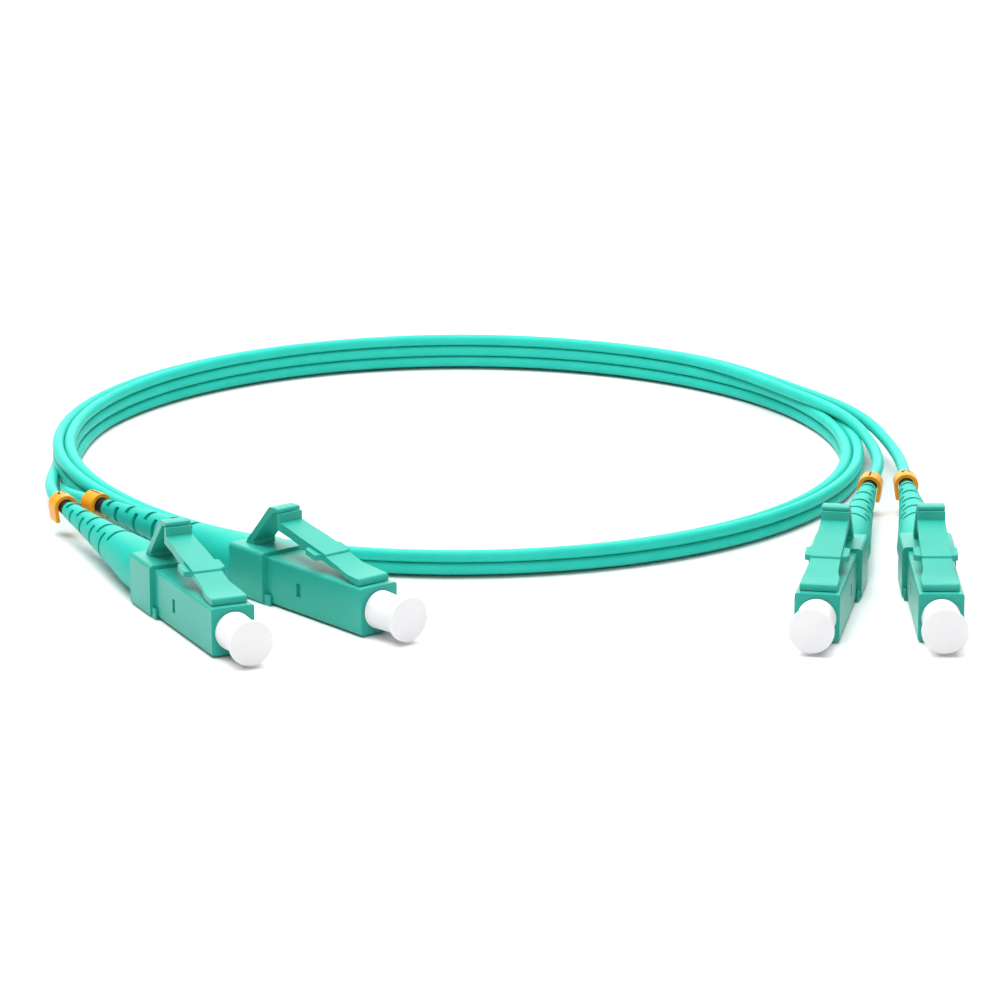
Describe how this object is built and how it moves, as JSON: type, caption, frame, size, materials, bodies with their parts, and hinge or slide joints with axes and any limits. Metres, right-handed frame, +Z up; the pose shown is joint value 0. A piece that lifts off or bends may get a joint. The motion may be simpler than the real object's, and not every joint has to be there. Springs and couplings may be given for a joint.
{
  "type": "fiber optic patch cord",
  "caption": "Coiled two-fibre patch cord with small-form latching plugs, pull-off dust caps, slotted bend boots and clip-on identification rings.",
  "frame": {"origin": "on the floor under the middle of the four plugs", "axes": "+Z up, +X from the left plugs to the right plugs, +Y from the plugs to the coil behind them"},
  "size_m": [0.0957, 0.1244, 0.0099],
  "materials": {
    "housing_plastic": "satin",
    "boot_rubber": "satin",
    "cord_jacket": "satin",
    "cap_plastic": "satin",
    "ring_plastic": "gloss",
    "ferrule_ceramic": "polished",
    "plated_metal": "plated",
    "spring_steel": "bright",
    "sleeve_black": "matte"
  },
  "bodies": {
    "cord_set": {"cord_coil": "cord_jacket", "cord_lead_left_front": "cord_jacket", "cord_lead_left_back": "cord_jacket", "cord_lead_right_inner": "cord_jacket", "cord_lead_right_outer": "cord_jacket", "left_front_front_housing": "housing_plastic", "left_front_rear_housing": "housing_plastic", "left_front_crimp_body": "plated_metal", "left_front_spring": "spring_steel", "left_front_crimp_sleeve": "plated_metal", "left_front_boot": "boot_rubber", "left_front_shrink_sleeve": "sleeve_black", "left_back_front_housing": "housing_plastic", "left_back_rear_housing": "housing_plastic", "left_back_crimp_body": "plated_metal", "left_back_spring": "spring_steel", "left_back_crimp_sleeve": "plated_metal", "left_back_boot": "boot_rubber", "left_back_shrink_sleeve": "sleeve_black", "right_inner_front_housing": "housing_plastic", "right_inner_rear_housing": "housing_plastic", "right_inner_crimp_body": "plated_metal", "right_inner_spring": "spring_steel", "right_inner_crimp_sleeve": "plated_metal", "right_inner_boot": "boot_rubber", "right_inner_shrink_sleeve": "sleeve_black", "right_outer_front_housing": "housing_plastic", "right_outer_rear_housing": "housing_plastic", "right_outer_crimp_body": "plated_metal", "right_outer_spring": "spring_steel", "right_outer_crimp_sleeve": "plated_metal", "right_outer_boot": "boot_rubber", "right_outer_shrink_sleeve": "sleeve_black"},
    "left_front_latch": {"left_front_latch_arm": "housing_plastic"},
    "left_front_trigger": {"left_front_trigger_arm": "housing_plastic"},
    "left_front_cap": {"left_front_dust_cap": "cap_plastic"},
    "left_front_core": {"left_front_ferrule": "ferrule_ceramic", "left_front_ferrule_flange": "plated_metal"},
    "left_front_ring": {"left_front_id_ring": "ring_plastic"},
    "left_back_latch": {"left_back_latch_arm": "housing_plastic"},
    "left_back_trigger": {"left_back_trigger_arm": "housing_plastic"},
    "left_back_cap": {"left_back_dust_cap": "cap_plastic"},
    "left_back_core": {"left_back_ferrule": "ferrule_ceramic", "left_back_ferrule_flange": "plated_metal"},
    "left_back_ring": {"left_back_id_ring": "ring_plastic"},
    "right_inner_latch": {"right_inner_latch_arm": "housing_plastic"},
    "right_inner_trigger": {"right_inner_trigger_arm": "housing_plastic"},
    "right_inner_cap": {"right_inner_dust_cap": "cap_plastic"},
    "right_inner_core": {"right_inner_ferrule": "ferrule_ceramic", "right_inner_ferrule_flange": "plated_metal"},
    "right_inner_ring": {"right_inner_id_ring": "ring_plastic"},
    "right_outer_latch": {"right_outer_latch_arm": "housing_plastic"},
    "right_outer_trigger": {"right_outer_trigger_arm": "housing_plastic"},
    "right_outer_cap": {"right_outer_dust_cap": "cap_plastic"},
    "right_outer_core": {"right_outer_ferrule": "ferrule_ceramic", "right_outer_ferrule_flange": "plated_metal"},
    "right_outer_ring": {"right_outer_id_ring": "ring_plastic"}
  },
  "joints": [
    {"name": "left_front_latch_flex", "type": "hinge", "parent": "cord_set", "child": "left_front_latch", "pos_m": [-0.02628, -0.02182, 0.00541], "axis": [-0.9078, -0.4195, 0], "range_deg": [0, 2], "stiffness_Nm_per_rad": 0.0005, "springref_deg": -171.89},
    {"name": "left_front_trigger_flex", "type": "hinge", "parent": "cord_set", "child": "left_front_trigger", "pos_m": [-0.03389, -0.00535, 0.00581], "axis": [0.9078, 0.4195, 0], "range_deg": [0, 5.6]},
    {"name": "left_front_cap_slide", "type": "slide", "parent": "cord_set", "child": "left_front_cap", "axis": [0.4195, -0.9078, 0], "range_m": [0, 0.012]},
    {"name": "left_front_ferrule_slide", "type": "slide", "parent": "cord_set", "child": "left_front_core", "axis": [-0.4195, 0.9078, 0], "range_m": [0, 0.0004], "stiffness_N_per_m": 20, "springref_m": -0.0005},
    {"name": "left_front_ring_swivel", "type": "hinge", "parent": "cord_set", "child": "left_front_ring", "pos_m": [-0.04601, 0.02088, 0.00322], "axis": [-0.4193, 0.9075, 0.0227], "range_deg": [-12, 12]},
    {"name": "left_back_latch_flex", "type": "hinge", "parent": "cord_set", "child": "left_back_latch", "pos_m": [-0.01254, -0.01463, 0.00541], "axis": [-0.7694, -0.6388, 0], "range_deg": [0, 2], "stiffness_Nm_per_rad": 0.0005, "springref_deg": -171.89},
    {"name": "left_back_trigger_flex", "type": "hinge", "parent": "cord_set", "child": "left_back_trigger", "pos_m": [-0.02413, -0.00068, 0.00581], "axis": [0.7694, 0.6388, 0], "range_deg": [0, 5.6]},
    {"name": "left_back_cap_slide", "type": "slide", "parent": "cord_set", "child": "left_back_cap", "axis": [0.6388, -0.7694, 0], "range_m": [0, 0.012]},
    {"name": "left_back_ferrule_slide", "type": "slide", "parent": "cord_set", "child": "left_back_core", "axis": [-0.6388, 0.7694, 0], "range_m": [0, 0.0004], "stiffness_N_per_m": 20, "springref_m": -0.0005},
    {"name": "left_back_ring_swivel", "type": "hinge", "parent": "cord_set", "child": "left_back_ring", "pos_m": [-0.04258, 0.02155, 0.00322], "axis": [-0.6386, 0.7692, 0.0227], "range_deg": [-12, 12]},
    {"name": "right_inner_latch_flex", "type": "hinge", "parent": "cord_set", "child": "right_inner_latch", "pos_m": [0.03134, -0.01731, 0.00541], "axis": [-0.9839, 0.1788, 0], "range_deg": [0, 2], "stiffness_Nm_per_rad": 0.0005, "springref_deg": -171.89},
    {"name": "right_inner_trigger_flex", "type": "hinge", "parent": "cord_set", "child": "right_inner_trigger", "pos_m": [0.03458, 0.00054, 0.00581], "axis": [0.9839, -0.1788, 0], "range_deg": [0, 5.6]},
    {"name": "right_inner_cap_slide", "type": "slide", "parent": "cord_set", "child": "right_inner_cap", "axis": [-0.1788, -0.9839, 0], "range_m": [0, 0.012]},
    {"name": "right_inner_ferrule_slide", "type": "slide", "parent": "cord_set", "child": "right_inner_core", "axis": [0.1788, 0.9839, 0], "range_m": [0, 0.0004], "stiffness_N_per_m": 20, "springref_m": -0.0005},
    {"name": "right_inner_ring_swivel", "type": "hinge", "parent": "cord_set", "child": "right_inner_ring", "pos_m": [0.03975, 0.02897, 0.00322], "axis": [0.1788, 0.9836, 0.0227], "range_deg": [-12, 12]},
    {"name": "right_outer_latch_flex", "type": "hinge", "parent": "cord_set", "child": "right_outer_latch", "pos_m": [0.0433, -0.01734, 0.00541], "axis": [-1, 0.007, 0], "range_deg": [0, 2], "stiffness_Nm_per_rad": 0.0005, "springref_deg": -171.89},
    {"name": "right_outer_trigger_flex", "type": "hinge", "parent": "cord_set", "child": "right_outer_trigger", "pos_m": [0.04343, 0.0008, 0.00581], "axis": [1, -0.007, 0], "range_deg": [0, 5.6]},
    {"name": "right_outer_cap_slide", "type": "slide", "parent": "cord_set", "child": "right_outer_cap", "axis": [-0.007, -1, 0], "range_m": [0, 0.012]},
    {"name": "right_outer_ferrule_slide", "type": "slide", "parent": "cord_set", "child": "right_outer_core", "axis": [0.007, 1, 0], "range_m": [0, 0.0004], "stiffness_N_per_m": 20, "springref_m": -0.0005},
    {"name": "right_outer_ring_swivel", "type": "hinge", "parent": "cord_set", "child": "right_outer_ring", "pos_m": [0.04363, 0.02969, 0.00322], "axis": [0.007, 0.9997, 0.0227], "range_deg": [-12, 12]}
  ],
  "couplings": [
    {"joint": "left_front_trigger_flex", "follows": "left_front_latch_flex", "ratio": 2.8},
    {"joint": "left_back_trigger_flex", "follows": "left_back_latch_flex", "ratio": 2.8},
    {"joint": "right_inner_trigger_flex", "follows": "right_inner_latch_flex", "ratio": 2.8},
    {"joint": "right_outer_trigger_flex", "follows": "right_outer_latch_flex", "ratio": 2.8}
  ]
}
